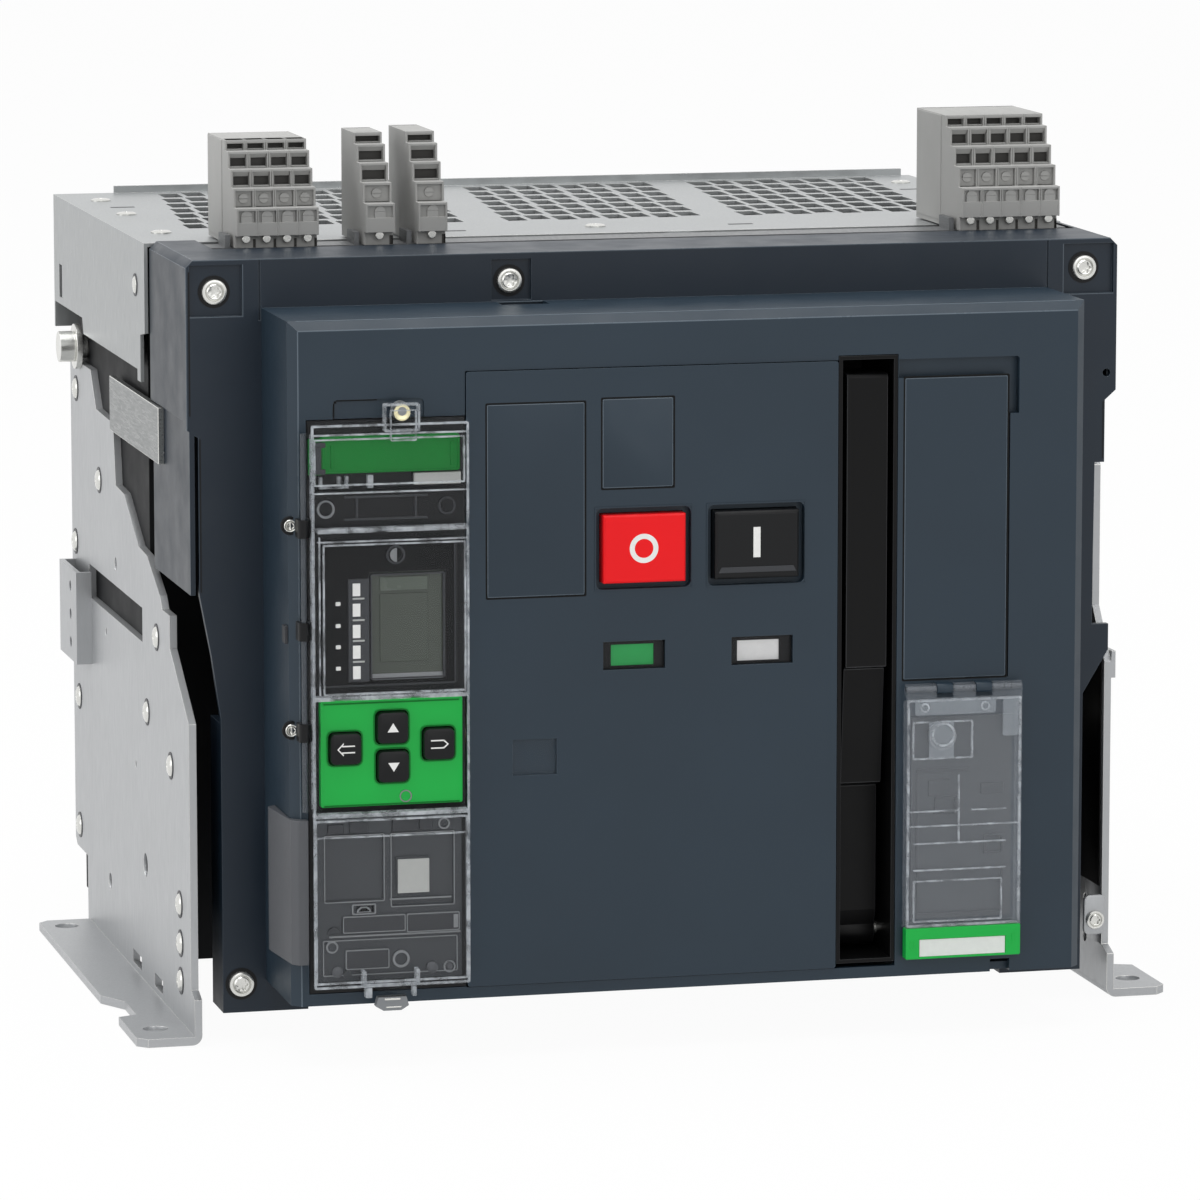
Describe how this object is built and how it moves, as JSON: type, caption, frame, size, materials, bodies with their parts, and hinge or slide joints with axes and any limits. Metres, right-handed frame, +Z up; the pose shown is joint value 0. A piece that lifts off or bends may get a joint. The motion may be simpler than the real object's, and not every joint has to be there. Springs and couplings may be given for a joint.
{
  "type": "air circuit breaker",
  "caption": "Fixed-mounted air circuit breaker with push buttons, charging handle, trip unit behind a hinged clear cover, arc chutes and rear bars.",
  "frame": {"origin": "centre of the bounding box, at the underside of the feet", "axes": "+X to the right seen from the front, +Y from the front to the rear, +Z up"},
  "size_m": [0.422, 0.36, 0.352],
  "materials": {
    "sheet_steel": "zinc-plated sheet",
    "hardware": "plated",
    "shroud_plastic": "fine grain",
    "bezel_plastic": "fine grain",
    "black_plastic": "satin",
    "red_plastic": "satin",
    "green_plastic": "satin",
    "dark_green_plastic": "satin",
    "flag_plastic": "satin",
    "clear_plastic": "clear",
    "screen": "smooth",
    "grey_plastic": "satin",
    "terminal_plastic": "matt",
    "case_plastic": "matt",
    "copper": "bare copper",
    "bush_metal": "turned"
  },
  "bodies": {
    "root": {"side_plate_left": "sheet_steel", "side_plate_right": "sheet_steel", "top_cap": "sheet_steel", "cap_front_rail": "sheet_steel", "side_bands": "sheet_steel", "rear_channels": "sheet_steel", "terminal_rail": "sheet_steel", "mechanism_plates": "sheet_steel", "side_fasteners": "hardware", "front_screws": "hardware", "handle_pin": "hardware", "hinge_pins": "hardware", "contact_pivot": "hardware", "spring_guide": "hardware", "closing_spring": "hardware", "front_shroud": "shroud_plastic", "front_bezel": "bezel_plastic", "right_panel": "bezel_plastic", "fascia": "bezel_plastic", "module_cover": "bezel_plastic", "lock_plate": "bezel_plastic", "handle_well": "black_plastic", "trip_display_frame": "black_plastic", "trip_base": "black_plastic", "trip_stud_band": "black_plastic", "lock_carrier": "black_plastic", "trip_lower_module": "black_plastic", "keypad_plate": "green_plastic", "trip_top_module": "dark_green_plastic", "indicator_windows": "clear_plastic", "trip_screen": "screen", "trip_side_block": "grey_plastic", "terminal_block_left": "terminal_plastic", "terminal_block_mid_a": "terminal_plastic", "terminal_block_mid_b": "terminal_plastic", "terminal_block_right": "terminal_plastic", "pole_case": "case_plastic", "arc_chutes": "case_plastic", "current_sensors": "case_plastic", "upper_terminals": "copper", "lower_terminals": "copper", "shaft_bushes": "bush_metal"},
    "trip_cover_body": {"trip_cover": "clear_plastic", "cover_clips": "grey_plastic"},
    "key_up_body": {"key_up": "black_plastic"},
    "key_down_body": {"key_down": "black_plastic"},
    "key_back_body": {"key_back": "black_plastic"},
    "key_enter_body": {"key_enter": "black_plastic"},
    "off_button_body": {"off_button": "red_plastic"},
    "on_button_body": {"on_button": "black_plastic"},
    "handle_body": {"charging_handle": "black_plastic"},
    "flap_body": {"clear_flap": "clear_plastic", "label_holder": "green_plastic"},
    "pole_shaft_body": {"pole_shaft": "hardware"},
    "link_body": {"drive_links": "case_plastic"},
    "arm_body": {"contact_arms": "copper"},
    "contact_flag_body": {"contact_flag": "flag_plastic"},
    "cam_body": {"cam_shaft": "hardware", "ratchet_wheel": "hardware"},
    "charge_flag_body": {"charge_flag": "flag_plastic"}
  },
  "joints": [
    {"name": "trip_cover_swing", "type": "hinge", "parent": "root", "child": "trip_cover_body", "pos_m": [-0.1544, -0.1759, 0.141], "axis": [0, 0, -1], "range_deg": [0, 110]},
    {"name": "key_up_press", "type": "slide", "parent": "root", "child": "key_up_body", "axis": [0, 1, 0], "range_m": [0, 0.001], "stiffness_N_per_m": 400, "springref_m": -0.0003},
    {"name": "key_down_press", "type": "slide", "parent": "root", "child": "key_down_body", "axis": [0, 1, 0], "range_m": [0, 0.001], "stiffness_N_per_m": 400, "springref_m": -0.0003},
    {"name": "key_back_press", "type": "slide", "parent": "root", "child": "key_back_body", "axis": [0, 1, 0], "range_m": [0, 0.001], "stiffness_N_per_m": 400, "springref_m": -0.0003},
    {"name": "key_enter_press", "type": "slide", "parent": "root", "child": "key_enter_body", "axis": [0, 1, 0], "range_m": [0, 0.001], "stiffness_N_per_m": 400, "springref_m": -0.0003},
    {"name": "off_button_press", "type": "slide", "parent": "root", "child": "off_button_body", "axis": [0, 1, 0], "range_m": [0, 0.004], "stiffness_N_per_m": 1500, "springref_m": -0.001},
    {"name": "on_button_press", "type": "slide", "parent": "root", "child": "on_button_body", "axis": [0, 1, 0], "range_m": [0, 0.004], "stiffness_N_per_m": 1500, "springref_m": -0.001},
    {"name": "handle_pull", "type": "hinge", "parent": "root", "child": "handle_body", "pos_m": [0.0702, -0.149, 0.039], "axis": [1, 0, 0], "range_deg": [0, 70], "stiffness_Nm_per_rad": 1.5, "springref_deg": -5.73},
    {"name": "flap_lift", "type": "hinge", "parent": "root", "child": "flap_body", "pos_m": [0.1087, -0.17425, 0.1382], "axis": [-1, 0, 0], "range_deg": [0, 95]},
    {"name": "pole_shaft_turn", "type": "hinge", "parent": "root", "child": "pole_shaft_body", "pos_m": [0, -0.038, 0.11], "axis": [-1, 0, 0], "range_deg": [0, 42], "stiffness_Nm_per_rad": 3, "springref_deg": -28.65},
    {"name": "link_turn", "type": "hinge", "parent": "pole_shaft_body", "child": "link_body", "pos_m": [0, -0.04803, 0.13614], "axis": [1, 0, 0], "range_deg": [0, 46.5]},
    {"name": "arm_turn", "type": "hinge", "parent": "root", "child": "arm_body", "pos_m": [0, 0.064, 0.078], "axis": [-1, 0, 0], "range_deg": [0, 20.2]},
    {"name": "contact_flag_slide", "type": "slide", "parent": "root", "child": "contact_flag_body", "axis": [0, 0, 1], "range_m": [0, 0.0127]},
    {"name": "cam_turn", "type": "hinge", "parent": "root", "child": "cam_body", "pos_m": [0, -0.07, 0.205], "axis": [1, 0, 0], "range_deg": [0, 180], "deforming": ["closing_spring"]},
    {"name": "charge_flag_slide", "type": "slide", "parent": "root", "child": "charge_flag_body", "axis": [0, 0, 1], "range_m": [0, 0.0127]}
  ],
  "couplings": [
    {"joint": "link_turn", "follows": "pole_shaft_turn", "ratio": 1.0702},
    {"joint": "arm_turn", "follows": "pole_shaft_turn", "ratio": 0.47619},
    {"joint": "contact_flag_slide", "follows": "pole_shaft_turn", "m_per_rad": 0.017052},
    {"joint": "charge_flag_slide", "follows": "cam_turn", "m_per_rad": 0.003979}
  ]
}
